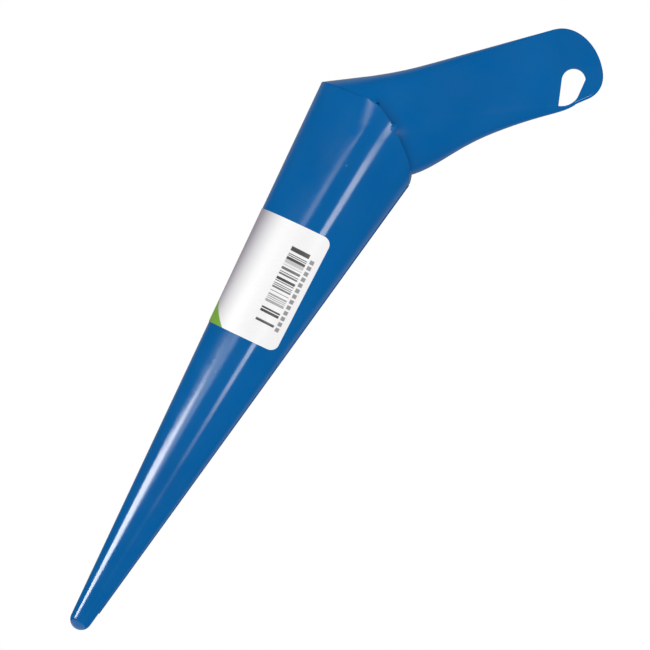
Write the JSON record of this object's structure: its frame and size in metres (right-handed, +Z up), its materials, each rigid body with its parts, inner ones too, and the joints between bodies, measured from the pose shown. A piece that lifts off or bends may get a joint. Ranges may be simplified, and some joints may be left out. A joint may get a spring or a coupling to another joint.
{
  "type": "garden dibber",
  "caption": "Bent sheet-steel garden dibber: a rolled conical spike with a ball tip, and a folded handle pinched flat at the end with a hanging hole.",
  "frame": {"origin": "the very tip of the spike, at the bottom of its ball end", "axes": "+Z up the spike's axis, +X towards the side that the handle bends to, +Y across the tool; XZ is the plane of symmetry"},
  "size_m": [0.0881, 0.0482, 0.2784],
  "materials": {
    "paint": "gloss blue enamel",
    "label": "white self-adhesive label, satin"
  },
  "bodies": {
    "root": {"spike_cone": "paint", "tip_plug": "paint", "seam_weld": "paint", "handle_shell": "paint", "neck_weld": "paint", "rim_tacks": "paint", "label": "label"}
  },
  "joints": []
}
